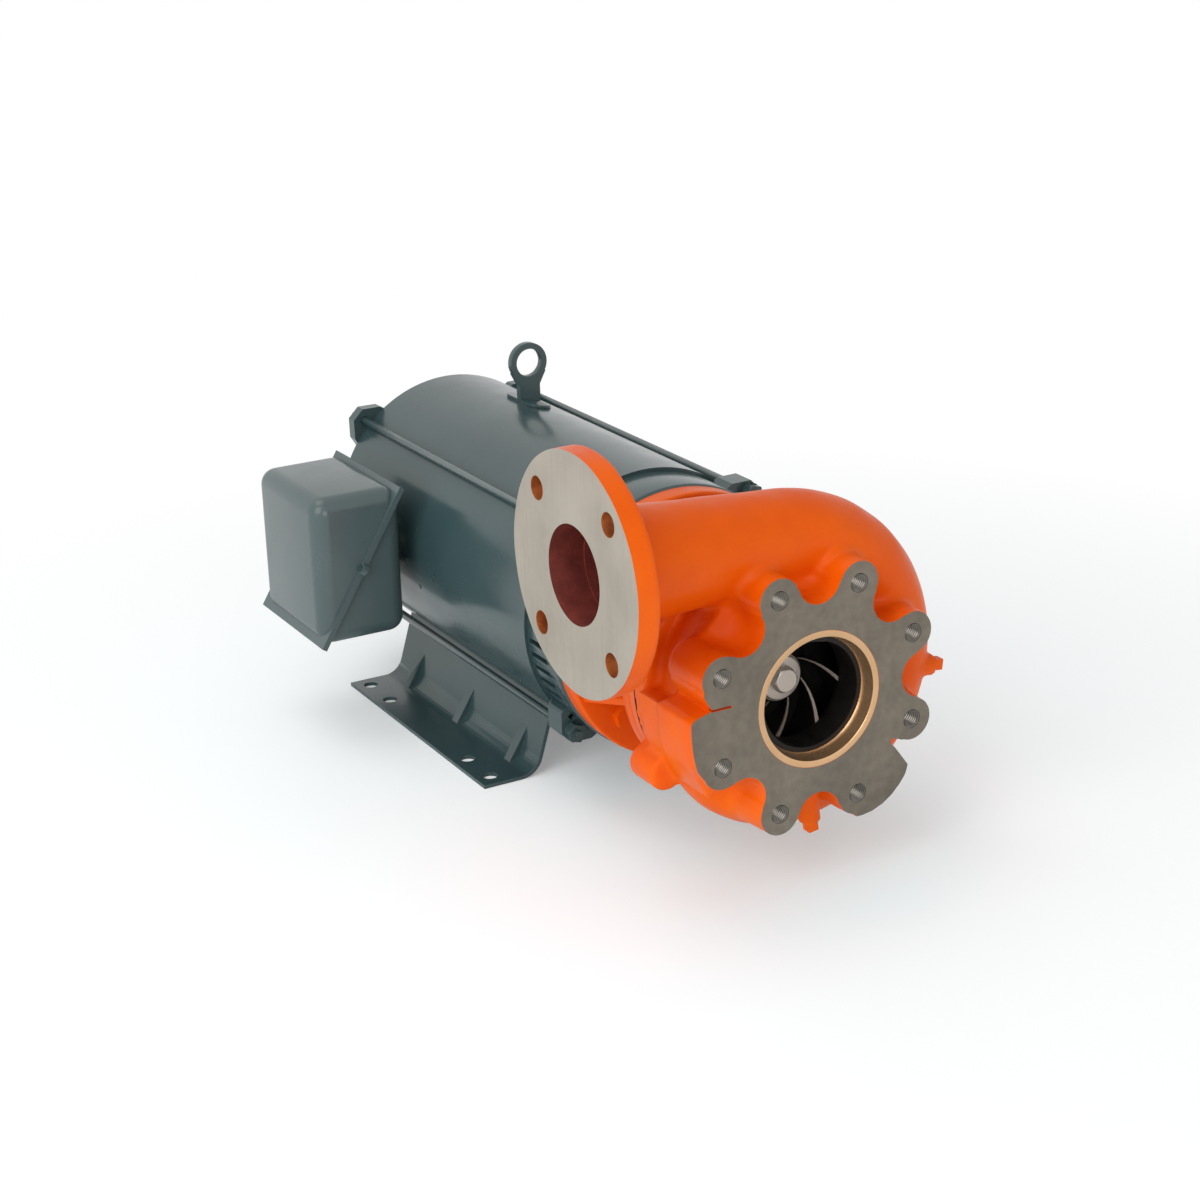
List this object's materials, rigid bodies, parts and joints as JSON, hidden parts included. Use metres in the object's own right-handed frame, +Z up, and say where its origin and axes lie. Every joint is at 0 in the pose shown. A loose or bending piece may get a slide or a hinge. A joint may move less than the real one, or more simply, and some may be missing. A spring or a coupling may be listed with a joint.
{
  "type": "centrifugal pump",
  "caption": "Close-coupled end-suction centrifugal pump: lugged suction face, side discharge flange, closed impeller, footed motor with conduit box and lifting eye.",
  "frame": {"origin": "centre of the suction face, on the shaft axis", "axes": "+Y along the shaft from the suction face to the motor, +Z up from the feet, discharge towards -X"},
  "size_m": [0.3693, 0.7232, 0.3722],
  "materials": {
    "casting_paint": "gloss enamel over sand casting",
    "motor_paint": "gloss enamel over sheet steel",
    "bronze": "turned",
    "bare_iron": "machined",
    "impeller_iron": "as cast, dark",
    "rubber": "matt",
    "ceramic": "lapped ceramic",
    "screw_steel": "plated",
    "stainless": "bright",
    "shaft_steel": "ground",
    "bearing_steel": "polished",
    "laminations": "stacked sheet",
    "cast_aluminium": "as cast",
    "windings": "varnished copper wire"
  },
  "bodies": {
    "pump_body": {"volute_casing": "casting_paint", "casing_wear_ring": "bronze", "drain_plug": "casting_paint", "gauge_plug": "casting_paint", "casing_gasket": "rubber", "casing_cover": "bare_iron", "seal_seat_cup": "rubber", "seal_seat": "ceramic", "casing_screws": "casting_paint", "motor_adapter": "casting_paint", "adapter_screws": "casting_paint", "front_bracket": "motor_paint", "rear_bracket": "motor_paint", "motor_shell": "motor_paint", "stator_core": "laminations", "stator_windings": "windings", "front_outer_race": "bearing_steel", "rear_outer_race": "bearing_steel", "bearing_cap": "bare_iron", "wave_washer": "bearing_steel", "tie_rods": "motor_paint", "tie_rod_nuts": "motor_paint", "motor_base": "motor_paint", "lifting_eye": "motor_paint", "conduit_neck": "motor_paint", "conduit_box_base": "motor_paint", "conduit_box_cover": "motor_paint", "conduit_box_screws": "motor_paint"},
    "rotor": {"impeller": "impeller_iron", "impeller_key": "screw_steel", "impeller_washer": "stainless", "impeller_screw": "stainless", "shaft_sleeve": "bronze", "seal_spring": "stainless", "seal_head": "bare_iron", "slinger": "rubber", "motor_shaft": "shaft_steel", "rotor_core": "laminations", "rotor_end_rings": "cast_aluminium", "front_inner_race": "bearing_steel", "rear_inner_race": "bearing_steel"},
    "front_cage": {"front_ball_cage": "bearing_steel"},
    "rear_cage": {"rear_ball_cage": "bearing_steel"}
  },
  "joints": [
    {"name": "shaft_spin", "type": "hinge", "parent": "pump_body", "child": "rotor", "pos_m": [0, 0.3, 0], "axis": [0, 1, 0], "continuous": true},
    {"name": "front_cage_spin", "type": "hinge", "parent": "pump_body", "child": "front_cage", "pos_m": [0, 0.2385, 0], "axis": [0, 1, 0], "continuous": true},
    {"name": "rear_cage_spin", "type": "hinge", "parent": "pump_body", "child": "rear_cage", "pos_m": [0, 0.663, 0], "axis": [0, 1, 0], "continuous": true}
  ],
  "couplings": [
    {"joint": "front_cage_spin", "follows": "shaft_spin", "ratio": 0.3862},
    {"joint": "rear_cage_spin", "follows": "shaft_spin", "ratio": 0.4}
  ]
}
